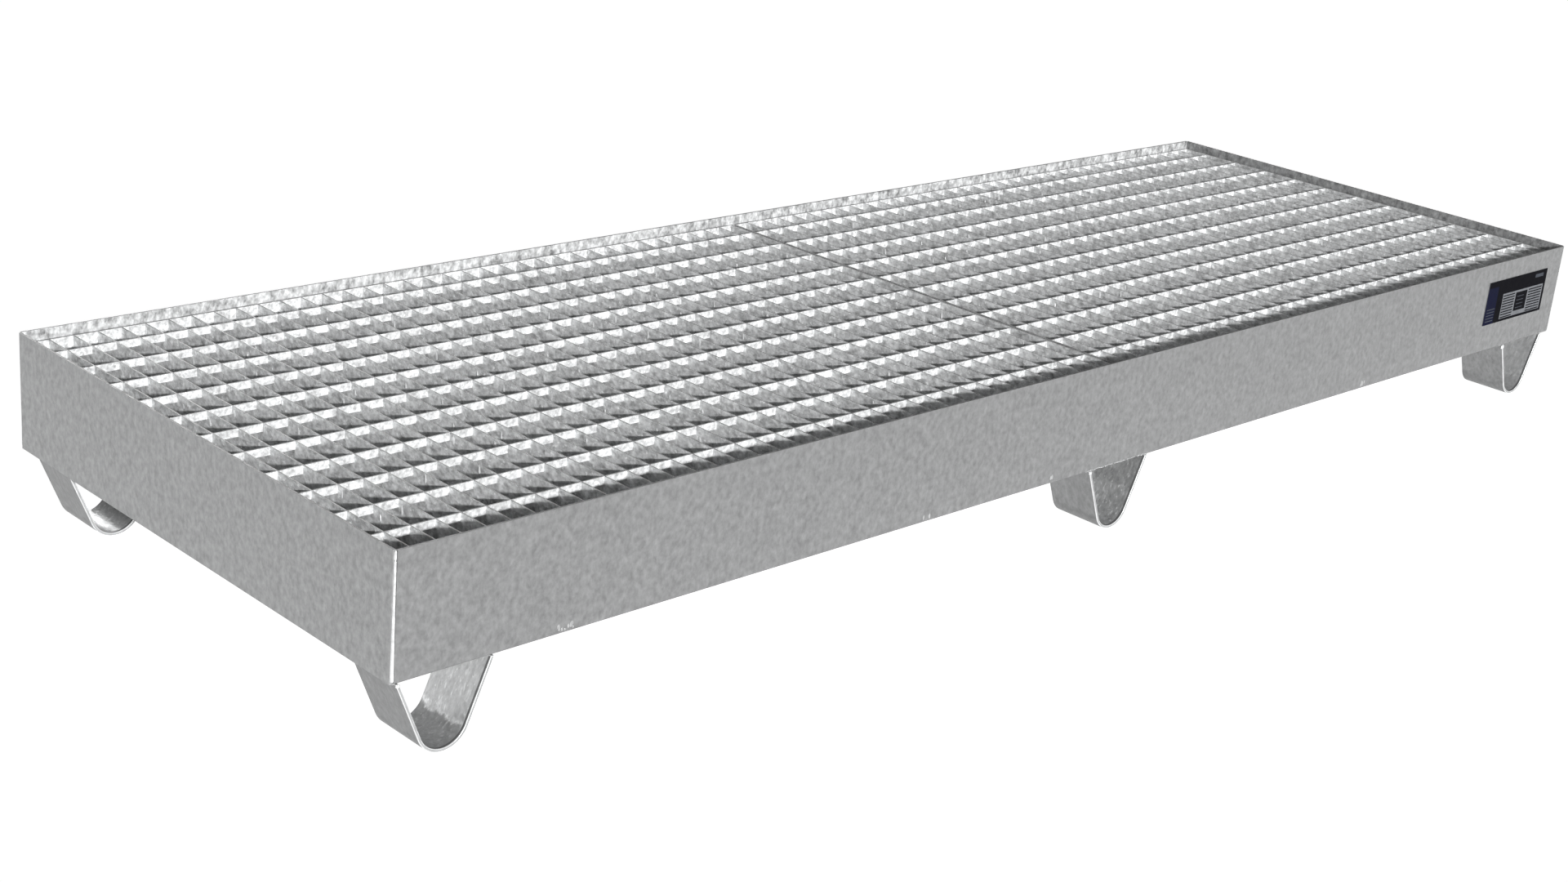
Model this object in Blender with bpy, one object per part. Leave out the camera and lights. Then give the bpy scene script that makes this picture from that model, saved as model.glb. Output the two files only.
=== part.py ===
"""Galvanised spill tray: a shallow welded steel sump on six bent feet, with two lift-out gratings.

Frame: metres, +Z up, +X along the length, -Y is the front. The origin is on the ground, under the
centre of the tray. The tray is one welded assembly; each grating lifts straight up out of it.
"""

import math

import bmesh
import bpy

# Overall size.
LENGTH = 2.400
WIDTH = 0.800
HEIGHT = 0.250
FOOT_HEIGHT = 0.097

# Tray sheet metal.
SHEET = 0.003
FOLD_RADIUS = 0.004
FOLD_STEPS = 4
GAP = 0.0003

# Angles that carry the gratings along the front and back walls.
ANGLE_LEG = 0.030
ANGLE_THICKNESS = 0.003
ANGLE_END_CLEARANCE = 0.002

# Feet: flat strip bent to a rounded V.
FOOT_STRIP_WIDTH = 0.080
FOOT_STRIP_THICKNESS = 0.004
FOOT_TOP_SPAN = 0.128
FOOT_LEG_ANGLE = math.radians(22.7)
FOOT_BEND_STEPS = 14
LEFT_FOOT_INSET = 0.006
RIGHT_FOOT_INSET = 0.023
MIDDLE_FOOT_X = 0.012
BACK_FOOT_INSET = 0.028

# Weld beads.
FOOT_WELD_LEG = 0.0035
FOOT_WELD_END_MARGIN = 0.004
SEAM_WELD_LEG = 0.004
SEAM_WELD_END_MARGIN = 0.002
CORNER_WELD_STEPS = 5

# Gratings: tall bearing bars across the tray, low cross bars along it, and a flat bar on each edge.
RECESS = 0.013
BAR_HEIGHT = 0.030
BEARING_BAR_THICKNESS = 0.002
BEARING_BAR_COUNT = 35
BEARING_BAR_PITCH = 0.1 / 3
CROSS_BAR_HEIGHT = 0.010
CROSS_BAR_THICKNESS = 0.002
CROSS_BAR_COUNT = 11
CROSS_BAR_PITCH = 0.0672
FIRST_CROSS_BAR = 0.0645
EDGE_BAR_THICKNESS = 0.003
END_CLEARANCE = 0.005
JOINT_CLEARANCE = 0.004
SIDE_CLEARANCE = 0.004

# Rating label on the front wall, near its right end.
LABEL_WIDTH = 0.188
LABEL_HEIGHT = 0.074
LABEL_THICKNESS = 0.0006
LABEL_CORNER_RADIUS = 0.002
LABEL_RIGHT_MARGIN = 0.047
LABEL_TOP_MARGIN = 0.032

# Derived levels and sizes.
TRAY_HEIGHT = HEIGHT - FOOT_HEIGHT
FLOOR_TOP = FOOT_HEIGHT + SHEET
INNER_END_X = LENGTH / 2 - SHEET
INNER_SIDE_Y = WIDTH / 2 - SHEET
DECK_TOP = HEIGHT - RECESS
DECK_BOTTOM = DECK_TOP - BAR_HEIGHT
GRATING_LENGTH = (2 * INNER_END_X - 2 * END_CLEARANCE - JOINT_CLEARANCE) / 2
GRATING_WIDTH = 2 * INNER_SIDE_Y - 2 * SIDE_CLEARANCE
GRATING_CENTRE_X = (GRATING_LENGTH + JOINT_CLEARANCE) / 2


def clear_scene():
    for obj in list(bpy.data.objects):
        bpy.data.objects.remove(obj, do_unlink=True)


def make_material(name, color, roughness, metallic):
    material = bpy.data.materials.new(name)
    material.use_nodes = True
    shader = material.node_tree.nodes["Principled BSDF"]
    shader.inputs["Base Color"].default_value = (*color, 1.0)
    shader.inputs["Roughness"].default_value = roughness
    shader.inputs["Metallic"].default_value = metallic
    material.diffuse_color = (*color, 1.0)
    return material


def finish_mesh(bm, name, material, smooth):
    bmesh.ops.recalc_face_normals(bm, faces=bm.faces)
    mesh = bpy.data.meshes.new(name)
    bm.to_mesh(mesh)
    bm.free()
    mesh.materials.append(material)
    if smooth:
        mesh.shade_smooth()
        mesh.set_sharp_from_angle(angle=math.radians(30))
    return mesh


def prism_mesh(name, outline, axis, start, end, material, smooth=False):
    """A closed prism along one axis. The outline's points hold the other two axes, in XYZ order."""
    place = {
        "X": lambda a, b: (start, a, b),
        "Y": lambda a, b: (a, start, b),
        "Z": lambda a, b: (a, b, start),
    }[axis]
    shift = [(end - start) * (letter == axis) for letter in "XYZ"]
    bm = bmesh.new()
    cap = bm.faces.new([bm.verts.new(place(a, b)) for a, b in outline])
    grown = bmesh.ops.extrude_face_region(bm, geom=[cap], use_keep_orig=True)
    moved = [item for item in grown["geom"] if isinstance(item, bmesh.types.BMVert)]
    bmesh.ops.translate(bm, vec=shift, verts=moved)
    return finish_mesh(bm, name, material, smooth)


def arc_points(centre, radius, start_angle, end_angle, steps):
    points = []
    for step in range(steps + 1):
        angle = start_angle + (end_angle - start_angle) * step / steps
        point = (centre[0] + radius * math.cos(angle), centre[1] + radius * math.sin(angle))
        points.append(point)
    return points


def add_part(name, mesh, parent, location=(0, 0, 0), turn=0.0):
    """Places a mesh in the row frame and hangs it from its body's empty."""
    obj = bpy.data.objects.new(name, mesh)
    bpy.context.scene.collection.objects.link(obj)
    obj.parent = parent
    home = parent.location
    obj.location = (location[0] - home[0], location[1] - home[1], location[2] - home[2])
    obj.rotation_euler = (0, 0, turn)
    return obj


def add_body(name, location):
    """An empty on the body's joint axis, which carries the body's parts."""
    empty = bpy.data.objects.new(name, None)
    bpy.context.scene.collection.objects.link(empty)
    empty.location = location
    return empty


def pan_outline():
    """Section of the folded pan in Y and Z: front wall, floor and back wall from one sheet."""
    half = WIDTH / 2
    fold_y = half - FOLD_RADIUS
    fold_z = FOOT_HEIGHT + FOLD_RADIUS
    inner_radius = FOLD_RADIUS - SHEET
    front = math.pi
    down = 1.5 * math.pi
    back = 2 * math.pi
    outer = [(-half, HEIGHT)]
    outer += arc_points((-fold_y, fold_z), FOLD_RADIUS, front, down, FOLD_STEPS)
    outer += arc_points((fold_y, fold_z), FOLD_RADIUS, down, back, FOLD_STEPS)
    outer += [(half, HEIGHT)]
    inner = [(INNER_SIDE_Y, HEIGHT)]
    inner += arc_points((fold_y, fold_z), inner_radius, back, down, FOLD_STEPS)
    inner += arc_points((-fold_y, fold_z), inner_radius, down, front, FOLD_STEPS)
    inner += [(-INNER_SIDE_Y, HEIGHT)]
    return outer + inner


def build_tray_shell(tray, steel):
    pan_end = INNER_END_X - GAP
    pan = prism_mesh("sump_pan", pan_outline(), "X", -pan_end, pan_end, steel, smooth=True)
    add_part("sump_pan", pan, tray)
    side = INNER_SIDE_Y - GAP
    outline = [(-side, FOOT_HEIGHT), (side, FOOT_HEIGHT), (side, HEIGHT), (-side, HEIGHT)]
    wall = prism_mesh("end_wall", outline, "X", -SHEET / 2, SHEET / 2, steel)
    wall_x = LENGTH / 2 - SHEET / 2
    add_part("left_end_wall", wall, tray, (-wall_x, 0, 0))
    add_part("right_end_wall", wall, tray, (wall_x, 0, 0))


def build_corner_welds(tray, bead_metal):
    """A quarter-round bead fills the outside notch where each end wall meets the pan."""
    outline = [(0, 0)] + arc_points((0, 0), SHEET, math.pi, 1.5 * math.pi, CORNER_WELD_STEPS)
    low = FOOT_HEIGHT + FOLD_RADIUS / 2
    high = HEIGHT - GAP
    bead = prism_mesh("corner_weld", outline, "Z", low, high, bead_metal, smooth=True)
    corners = {
        "front_left": (-1, -1, 0.0),
        "front_right": (1, -1, math.pi / 2),
        "back_right": (1, 1, math.pi),
        "back_left": (-1, 1, -math.pi / 2),
    }
    for name, (side_x, side_y, turn) in corners.items():
        place = (side_x * INNER_END_X, side_y * INNER_SIDE_Y, 0)
        add_part(name + "_corner_weld", bead, tray, place, turn)


def build_seam_welds(tray, bead_metal):
    """A liquid-tight fillet runs along the inside foot of each end wall."""
    outline = [(0, 0), (SEAM_WELD_LEG, 0), (SEAM_WELD_LEG * 0.4, SEAM_WELD_LEG * 0.4), (0, SEAM_WELD_LEG)]
    half = INNER_SIDE_Y - SEAM_WELD_END_MARGIN
    bead = prism_mesh("seam_weld", outline, "Y", -half, half, bead_metal, smooth=True)
    place_x = INNER_END_X - GAP
    place_z = FLOOR_TOP + GAP
    add_part("left_seam_weld", bead, tray, (-place_x, 0, place_z))
    add_part("right_seam_weld", bead, tray, (place_x, 0, place_z), math.pi)


def build_support_angles(tray, steel):
    """The gratings' bars end on these angles: a flat ledge, and a leg that goes down the wall."""
    leg = ANGLE_LEG
    thick = ANGLE_THICKNESS
    outline = [(0, 0), (0, -leg), (thick, -leg), (thick, -thick), (leg, -thick), (leg, 0)]
    half = INNER_END_X - ANGLE_END_CLEARANCE
    angle = prism_mesh("support_angle", outline, "X", -half, half, steel)
    wall_y = INNER_SIDE_Y - GAP
    top = DECK_BOTTOM - GAP
    add_part("front_support_angle", angle, tray, (0, -wall_y, top))
    add_part("back_support_angle", angle, tray, (0, wall_y, top), math.pi)


def foot_outline():
    """Section of a foot in X and Z, from its welded top at 0 down to the ground."""
    depth = FOOT_HEIGHT - GAP
    half = FOOT_TOP_SPAN / 2
    cos_leg = math.cos(FOOT_LEG_ANGLE)
    sin_leg = math.sin(FOOT_LEG_ANGLE)
    radius = (half * cos_leg - depth * sin_leg) / (1 - sin_leg)
    centre = (0, radius - depth)
    left = math.pi + FOOT_LEG_ANGLE
    right = 2 * math.pi - FOOT_LEG_ANGLE
    inner_half = half - FOOT_STRIP_THICKNESS / cos_leg
    inner_radius = radius - FOOT_STRIP_THICKNESS
    outer = [(-half, 0)] + arc_points(centre, radius, left, right, FOOT_BEND_STEPS) + [(half, 0)]
    inner_arc = arc_points(centre, inner_radius, right, left, FOOT_BEND_STEPS)
    return outer + [(inner_half, 0)] + inner_arc + [(-inner_half, 0)]


def foot_weld_outline():
    """A convex fillet outside a foot's right leg, from the corner between the leg and the floor sheet."""
    cos_leg = math.cos(FOOT_LEG_ANGLE)
    sin_leg = math.sin(FOOT_LEG_ANGLE)
    corner = (FOOT_TOP_SPAN / 2 + GAP / cos_leg, 0)
    along_floor = (corner[0] + FOOT_WELD_LEG, 0)
    along_leg = (corner[0] - FOOT_WELD_LEG * sin_leg, -FOOT_WELD_LEG * cos_leg)
    crown_x = 0.62 * (along_floor[0] - corner[0]) + 0.62 * (along_leg[0] - corner[0])
    crown = (corner[0] + crown_x, 0.62 * along_leg[1])
    return [corner, along_floor, crown, along_leg]


def build_feet(tray, steel, bead_metal):
    half = FOOT_STRIP_WIDTH / 2
    foot = prism_mesh("foot", foot_outline(), "Y", -half, half, steel, smooth=True)
    bead_half = half - FOOT_WELD_END_MARGIN
    outline = foot_weld_outline()
    bead = prism_mesh("foot_weld", outline, "Y", -bead_half, bead_half, bead_metal, smooth=True)
    left_x = -LENGTH / 2 + LEFT_FOOT_INSET + FOOT_TOP_SPAN / 2
    right_x = LENGTH / 2 - RIGHT_FOOT_INSET - FOOT_TOP_SPAN / 2
    columns = {"left": left_x, "middle": MIDDLE_FOOT_X, "right": right_x}
    rows = {"front": -WIDTH / 2 + half, "back": WIDTH / 2 - BACK_FOOT_INSET - half}
    top = FOOT_HEIGHT - GAP
    for row, y in rows.items():
        for column, x in columns.items():
            name = row + "_" + column + "_foot"
            add_part(name, foot, tray, (x, y, top))
            add_part(name + "_left_weld", bead, tray, (x, y, top), math.pi)
            add_part(name + "_right_weld", bead, tray, (x, y, top))


def build_label(tray, foil):
    half_width = LABEL_WIDTH / 2
    half_height = LABEL_HEIGHT / 2
    radius = LABEL_CORNER_RADIUS
    outline = []
    for quarter, (side_x, side_z) in enumerate(((1, 1), (-1, 1), (-1, -1), (1, -1))):
        centre = (side_x * (half_width - radius), side_z * (half_height - radius))
        start = quarter * math.pi / 2
        outline += arc_points(centre, radius, start, start + math.pi / 2, 3)
    label = prism_mesh("rating_label", outline, "Y", -LABEL_THICKNESS / 2, LABEL_THICKNESS / 2, foil)
    x = LENGTH / 2 - LABEL_RIGHT_MARGIN - half_width
    y = -WIDTH / 2 - GAP - LABEL_THICKNESS / 2
    z = HEIGHT - LABEL_TOP_MARGIN - half_height
    add_part("rating_label", label, tray, (x, y, z))


def bar_edges(start, end, centres, thickness):
    """Cell boundaries along one axis: the two ends, and both faces of each bar between them."""
    edges = [start]
    for centre in centres:
        edges += [centre - thickness / 2, centre + thickness / 2]
    return edges + [end]


def lattice_mesh(name, material):
    """Bearing bars and cross bars as one body, made from the boundary of a grid of filled cells.

    Along X and Y every odd-numbered cell holds a bar. The upper layer is filled where either kind
    of bar runs, and the lower layer where a bearing bar runs.
    """
    half_x = GRATING_LENGTH / 2
    half_y = GRATING_WIDTH / 2
    inset = EDGE_BAR_THICKNESS + GAP
    middle_bar = (BEARING_BAR_COUNT - 1) / 2
    bar_centres = []
    for index in range(BEARING_BAR_COUNT):
        bar_centres.append((index - middle_bar) * BEARING_BAR_PITCH)
    cross_centres = []
    for index in range(CROSS_BAR_COUNT):
        cross_centres.append(FIRST_CROSS_BAR + index * CROSS_BAR_PITCH - half_y)
    edges_x = bar_edges(-half_x + inset, half_x - inset, bar_centres, BEARING_BAR_THICKNESS)
    edges_y = bar_edges(-half_y + inset, half_y - inset, cross_centres, CROSS_BAR_THICKNESS)
    edges_z = [-BAR_HEIGHT, -CROSS_BAR_HEIGHT, 0.0]

    def filled(i, j, k):
        inside = 0 <= i < len(edges_x) - 1 and 0 <= j < len(edges_y) - 1 and 0 <= k < 2
        return inside and (i % 2 == 1 or (k == 1 and j % 2 == 1))

    bm = bmesh.new()
    corners = {}

    def corner(i, j, k):
        if (i, j, k) not in corners:
            corners[i, j, k] = bm.verts.new((edges_x[i], edges_y[j], edges_z[k]))
        return corners[i, j, k]

    sides = (
        ((1, 0, 0), ((1, 0, 0), (1, 1, 0), (1, 1, 1), (1, 0, 1))),
        ((-1, 0, 0), ((0, 0, 0), (0, 0, 1), (0, 1, 1), (0, 1, 0))),
        ((0, 1, 0), ((0, 1, 0), (0, 1, 1), (1, 1, 1), (1, 1, 0))),
        ((0, -1, 0), ((0, 0, 0), (1, 0, 0), (1, 0, 1), (0, 0, 1))),
        ((0, 0, 1), ((0, 0, 1), (1, 0, 1), (1, 1, 1), (0, 1, 1))),
        ((0, 0, -1), ((0, 0, 0), (0, 1, 0), (1, 1, 0), (1, 0, 0))),
    )
    for i in range(len(edges_x) - 1):
        for j in range(len(edges_y) - 1):
            for k in range(2):
                if not filled(i, j, k):
                    continue
                for (di, dj, dk), quad in sides:
                    if not filled(i + di, j + dj, k + dk):
                        bm.faces.new([corner(i + a, j + b, k + c) for a, b, c in quad])
    return finish_mesh(bm, name, material, smooth=False)


def box_outline(half_a, half_b):
    return [(-half_a, -half_b), (half_a, -half_b), (half_a, half_b), (-half_a, half_b)]


def build_grating(side, body, x, lattice, long_bar, short_bar):
    """One grating: the lattice, long bars on its front and back, and short bars between them."""
    centre = (x, 0, DECK_TOP)
    edge_y = GRATING_WIDTH / 2 - EDGE_BAR_THICKNESS / 2
    edge_x = GRATING_LENGTH / 2 - EDGE_BAR_THICKNESS / 2
    name = side + "_grating_"
    add_part(name + "lattice", lattice, body, centre)
    add_part(name + "front_edge_bar", long_bar, body, (x, -edge_y, DECK_TOP))
    add_part(name + "back_edge_bar", long_bar, body, (x, edge_y, DECK_TOP))
    add_part(name + "left_end_bar", short_bar, body, (x - edge_x, 0, DECK_TOP))
    add_part(name + "right_end_bar", short_bar, body, (x + edge_x, 0, DECK_TOP))


def build_gratings(steel):
    lattice = lattice_mesh("grating_lattice", steel)
    half_thickness = EDGE_BAR_THICKNESS / 2
    long_half = GRATING_LENGTH / 2
    long_outline = box_outline(long_half, half_thickness)
    long_bar = prism_mesh("edge_bar", long_outline, "Z", -BAR_HEIGHT, 0, steel)
    short_half = GRATING_WIDTH / 2 - EDGE_BAR_THICKNESS - GAP
    short_outline = box_outline(half_thickness, short_half)
    short_bar = prism_mesh("end_bar", short_outline, "Z", -BAR_HEIGHT, 0, steel)
    for side, direction in (("left", -1), ("right", 1)):
        x = direction * GRATING_CENTRE_X
        body = add_body(side + "_grating_lift", (x, 0, DECK_TOP))
        build_grating(side, body, x, lattice, long_bar, short_bar)


def build():
    clear_scene()
    sheet_steel = make_material("galvanised_sheet", (0.58, 0.59, 0.60), 0.48, 0.85)
    strip_steel = make_material("galvanised_strip", (0.55, 0.56, 0.57), 0.45, 0.85)
    bar_steel = make_material("galvanised_bar", (0.66, 0.67, 0.68), 0.38, 0.9)
    bead_metal = make_material("weld_bead", (0.72, 0.73, 0.74), 0.35, 0.9)
    foil = make_material("label_foil", (0.05, 0.07, 0.14), 0.4, 0.0)
    tray = add_body("tray", (0, 0, 0))
    build_tray_shell(tray, sheet_steel)
    build_corner_welds(tray, bead_metal)
    build_seam_welds(tray, bead_metal)
    build_support_angles(tray, strip_steel)
    build_feet(tray, strip_steel, bead_metal)
    build_label(tray, foil)
    build_gratings(bar_steel)


build()
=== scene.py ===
"""Looks of the galvanised spill tray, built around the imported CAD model.

Frame: metres, +Z up, +X along the tray, -Y is the front. All sizes and places come from the CAD
nodes' boxes or from the named values below.
"""

import math
import random

import bmesh
import bpy
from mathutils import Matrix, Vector


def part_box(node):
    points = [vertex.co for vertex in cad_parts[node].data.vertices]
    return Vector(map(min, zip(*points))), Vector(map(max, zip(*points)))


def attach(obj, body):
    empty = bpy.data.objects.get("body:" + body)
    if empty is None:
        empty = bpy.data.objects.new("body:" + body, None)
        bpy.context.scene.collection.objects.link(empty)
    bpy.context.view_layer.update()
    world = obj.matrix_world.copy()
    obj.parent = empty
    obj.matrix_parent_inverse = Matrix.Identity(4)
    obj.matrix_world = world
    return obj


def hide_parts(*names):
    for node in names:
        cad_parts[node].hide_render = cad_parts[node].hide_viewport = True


ALONG_X = Vector((1, 0, 0))
ALONG_Y = Vector((0, 1, 0))
TO_FRONT = Vector((0, -1, 0))
UP = Vector((0, 0, 1))

# Camera: a plain perspective, over a metre up, in front of the tray's left end.
CAMERA_LOCATION = (-2.489, -2.187, 1.213)
CAMERA_TURN = (math.radians(69.541), math.radians(-4.935), math.radians(-43.940))
CAMERA_LENS = 53.76
CAMERA_SENSOR = 36.0
CAMERA_CLIP = (0.05, 200.0)

# Light: a low key from the front and a little to the left, a weak fill from behind the tray, and a
# soft sky.
KEY_DIRECTION = (0.34, 1.00, -0.325)
KEY_STRENGTH = 4.7
KEY_ANGLE = math.radians(3.0)
FILL_DIRECTION = (-0.50, -1.00, -0.50)
FILL_STRENGTH = 1.0
FILL_ANGLE = math.radians(20.0)
SKY_LOW = 1.0
SKY_HIGH = 0.03
SKY_FADE = (0.08, 0.34)  # heights on the unit sphere between which the sky goes from low to high
FLOOR_RADIUS = 40.0
FLOOR_TONE = 0.80
FLOOR_ROUGHNESS = 0.9
FLOOR_GLOW = 0.95
WHITE = (1.0, 1.0, 1.0, 1.0)

# Tray sheet.
SHEET = 0.003

# Bent strip of the feet. The margin is the strip of inner face next to the front cut edge, given a darker
# tone as painted shade.
STRIP_THICKNESS = 0.004
STRIP_LEG_ANGLE = math.radians(22.7)
STRIP_BEND_STEPS = 48
STRIP_EDGE_RADIUS = 0.0009
STRIP_MARGIN = 0.004

# Weld beads. The shares are of the bead's size.
BEAD_PITCH = 0.0032
BEAD_STEP = 0.0008
BEAD_ARC_STEPS = 8
BEAD_SCALE_BOW = 0.4
BEAD_TIP_SHARE = 0.08
BEAD_NARROWING = 1.6
BEAD_RESTART = 0.012
BEAD_RESTART_WIDTH = 0.0012
BEAD_RESTART_DIP = 0.5
CORNER_BEAD_RIPPLE = 0.10
CORNER_BEAD_END = 0.66
SEAM_BEAD_CROWN = 0.72
SEAM_BEAD_RIPPLE = 0.22
FOOT_BEAD_LEG = 0.0035
FOOT_BEAD_INNER = 0.8
FOOT_BEAD_CROWN = 0.75
FOOT_BEAD_RIPPLE = 0.25
FOOT_BEAD_MARGIN = 0.004

# Gratings.
BEARING_BAR_COUNT = 35
BEARING_BAR_PITCH = 0.1 / 3
BEARING_BAR_THICKNESS = 0.002
CROSS_BAR_COUNT = 11
CROSS_BAR_PITCH = 0.0672
FIRST_CROSS_BAR = 0.0645
BAR_HEIGHT = 0.030

# Zinc drops: how far they sag towards their lower ends, the share of bays with a run on each face,
# and the ranges of their places, in shares of a bay, and of their sizes.
DROP_SAG = 0.45
RUN_SHARE = 0.6
RUN_PLACE = (0.15, 0.95)
RUN_DEPTH = (0.005, 0.022)
RUN_WIDTH = (0.0025, 0.0060)
RUN_HEIGHT = (0.005, 0.013)
RUN_RISE = (0.0003, 0.0007)
TIP_PLACE = (0.1, 0.9)
TIP_WIDTH = (0.003, 0.006)
TIP_HEIGHT = 0.003
TIP_RISE = 0.0012

# Rough zinc on the front wall's lower edge: the middle, the width and the number of drops of each
# patch, and the ranges of the drops' sizes.
DRIP_PATCHES = ((-0.967, 0.024, 8), (-0.382, 0.012, 4), (-0.135, 0.004, 2), (0.62, 0.010, 4))
DRIP_BASE = 0.0045
DRIP_SPREAD = 0.007
DRIP_SIZE = (0.002, 0.0045)
DRIP_STRETCH = (1.2, 2.2)
DRIP_RISE = 0.0003

# Rough zinc over a front foot.
SPATTER_WIDTH = (0.003, 0.009)
SPATTER_HEIGHT = (0.0014, 0.0030)
SPATTER_LEVEL = (0.0016, 0.0030)
SPATTER_STEP = (0.6, 1.2)
SPATTER_SINK = 0.0006
SPATTER_RISE = 0.0009

# Blob of zinc at the top of a front foot's left leg.
BLOB_SIZE = 0.006
RIGHT_BLOB_SIZE = 0.009
BLOB_INSET = 0.0035
BLOB_SINK = 0.0010
BLOB_RISE = 0.0014

# Scale of the zinc's mottling on each axis, in waves to the metre.
SHEET_GRAIN = (135, 135, 105)
STRIP_GRAIN = (190, 190, 90)
BAR_GRAIN = (160, 110, 165)

# Layers of the zinc's pattern: scale as a factor of the grain on each axis, or in waves to the metre.
BLOT_FACTORS = (0.42, 0.42, 0.42)
CRYSTAL_FACTORS = (0.9, 0.9, 0.9)
FLECK_FACTORS = (1.5, 1.5, 1.2)
CLOUD_SCALE = (16, 16, 11)
STREAK_SCALE = (150, 150, 22)

# The same layers' shares of the mottling, and their shares of the bump.
BLOT_SHARE = 0.25
CLOUD_SHARE = 0.08
CRYSTAL_SHARE = 0.25
CRYSTAL_RELIEF = 0.3
FLECK_RELIEF = 0.6
STREAK_RELIEF = 2.0

# How far crystals and mottling move the roughness.
CRYSTAL_GLOSS = 0.05
MOTTLE_GLOSS = 0.04

# A faint cool tint in the grey of the zinc.
ZINC_TINT = (0.99, 1.0, 1.005)

# Wavy line of the painted light and shade at the feet's bends.
BEND_SHADING_SCALE = (45, 45, 45)
BEND_SHADING_WAVE = 0.006
BEND_SHADING_RIDGE = (0.001, 0.0035)
BEND_SHADING_FADE = 0.003

# Printed foil.
INK_SCALE = (90, 90, 90)
INK_LEVELS = (0.85, 1.15)
INK_GLOSS = 0.06
INK_SHEEN = 0.03
INK_RELIEF = 0.00004
NAVY_INK, BLACK_INK, PAPER, GREY_INK = range(4)
FOIL_SWELL = 0.00008
FOIL_CLEARANCE = 0.0001

SHARP_ANGLE = math.radians(40)


# ---------------------------------------------------------------- node helpers


def new_material(name):
    material = bpy.data.materials.new(name)
    material.use_nodes = True
    return material, material.node_tree, material.node_tree.nodes["Principled BSDF"]


def feed(tree, socket, source):
    """Gives an input socket a value or a link."""
    if isinstance(source, bpy.types.NodeSocket):
        tree.links.new(source, socket)
    else:
        socket.default_value = source


def maths(tree, operation, first, second=0.0):
    node = tree.nodes.new("ShaderNodeMath")
    node.operation = operation
    feed(tree, node.inputs[0], first)
    feed(tree, node.inputs[1], second)
    return node.outputs[0]


def total(tree, *terms):
    value = terms[0]
    for term in terms[1:]:
        value = maths(tree, "ADD", value, term)
    return value


def place_axes(tree):
    """The three object coordinates, by name."""
    coordinates = tree.nodes.new("ShaderNodeTexCoord")
    axes = tree.nodes.new("ShaderNodeSeparateXYZ")
    tree.links.new(coordinates.outputs["Object"], axes.inputs[0])
    return axes.outputs


def stretched(tree, scale, shift=(0.0, 0.0, 0.0)):
    """Object coordinates, with each axis multiplied by its own scale."""
    coordinates = tree.nodes.new("ShaderNodeTexCoord")
    mapping = tree.nodes.new("ShaderNodeMapping")
    mapping.inputs["Scale"].default_value = scale
    mapping.inputs["Location"].default_value = shift
    tree.links.new(coordinates.outputs["Object"], mapping.inputs["Vector"])
    return mapping.outputs["Vector"]


def noise(tree, vector, detail=2.0, roughness=0.5):
    node = tree.nodes.new("ShaderNodeTexNoise")
    node.inputs["Scale"].default_value = 1.0
    node.inputs["Detail"].default_value = detail
    node.inputs["Roughness"].default_value = roughness
    tree.links.new(vector, node.inputs["Vector"])
    return node.outputs["Fac"]


def cells(tree, vector):
    """A random grey for each cell of a Voronoi pattern, as in the crystals of a zinc coat."""
    node = tree.nodes.new("ShaderNodeTexVoronoi")
    node.inputs["Scale"].default_value = 1.0
    tree.links.new(vector, node.inputs["Vector"])
    split = tree.nodes.new("ShaderNodeSeparateColor")
    tree.links.new(node.outputs["Color"], split.inputs["Color"])
    return split.outputs[0]


def spread(tree, value, low, high, to_low, to_high):
    """Maps low..high to to_low..to_high, held at both ends."""
    node = tree.nodes.new("ShaderNodeMapRange")
    feed(tree, node.inputs["Value"], value)
    node.inputs["From Min"].default_value = low
    node.inputs["From Max"].default_value = high
    node.inputs["To Min"].default_value = to_low
    node.inputs["To Max"].default_value = to_high
    return node.outputs["Result"]


def swing(tree, value, low, high, amount):
    """Maps low..high to -amount..amount, held at both ends."""
    return spread(tree, value, low, high, -amount, amount)


def grey(tree, value):
    node = tree.nodes.new("ShaderNodeCombineColor")
    for channel, tint in zip(node.inputs, ZINC_TINT):
        tree.links.new(maths(tree, "MULTIPLY", value, tint), channel)
    return node.outputs["Color"]


def switch(tree, mask, off, on):
    """The value off where the mask is 0, and on where it is 1."""
    node = tree.nodes.new("ShaderNodeMix")
    tree.links.new(mask, node.inputs[0])
    feed(tree, node.inputs[2], off)
    feed(tree, node.inputs[3], on)
    return node.outputs[0]


def over_sheet(tree, sheets):
    """1 over the given number of sheets above the tray's underside, 0 below."""
    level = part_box("sump_pan")[0].z + sheets * SHEET
    return maths(tree, "GREATER_THAN", place_axes(tree)["Z"], level)


def above_floor(tree):
    """1 above the tray's floor sheet, 0 on it and under it."""
    return over_sheet(tree, 1.5)


def within_walls(tree):
    """1 between the tray's walls and on their inner faces, 0 outside."""
    half_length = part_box("right_end_wall")[1].x - SHEET / 2
    half_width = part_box("sump_pan")[1].y - SHEET / 2
    axes = place_axes(tree)
    within_x = maths(tree, "LESS_THAN", maths(tree, "ABSOLUTE", axes["X"]), half_length)
    within_y = maths(tree, "LESS_THAN", maths(tree, "ABSOLUTE", axes["Y"]), half_width)
    return maths(tree, "MULTIPLY", within_x, within_y)


def top_shade_mask(tree):
    """1 on faces that look up, other than the tray's floor, 0 elsewhere: where the darker painted shade
    on tops goes.
    """
    geometry = tree.nodes.new("ShaderNodeNewGeometry")
    axes = tree.nodes.new("ShaderNodeSeparateXYZ")
    tree.links.new(geometry.outputs["True Normal"], axes.inputs[0])
    looks_up = maths(tree, "GREATER_THAN", axes.outputs["Z"], 0.7)
    return maths(tree, "MULTIPLY", looks_up, above_floor(tree))


def inside_tray(tree):
    """1 on the inner faces of the tray's walls, 0 elsewhere."""
    return maths(tree, "MULTIPLY", within_walls(tree), above_floor(tree))


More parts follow.
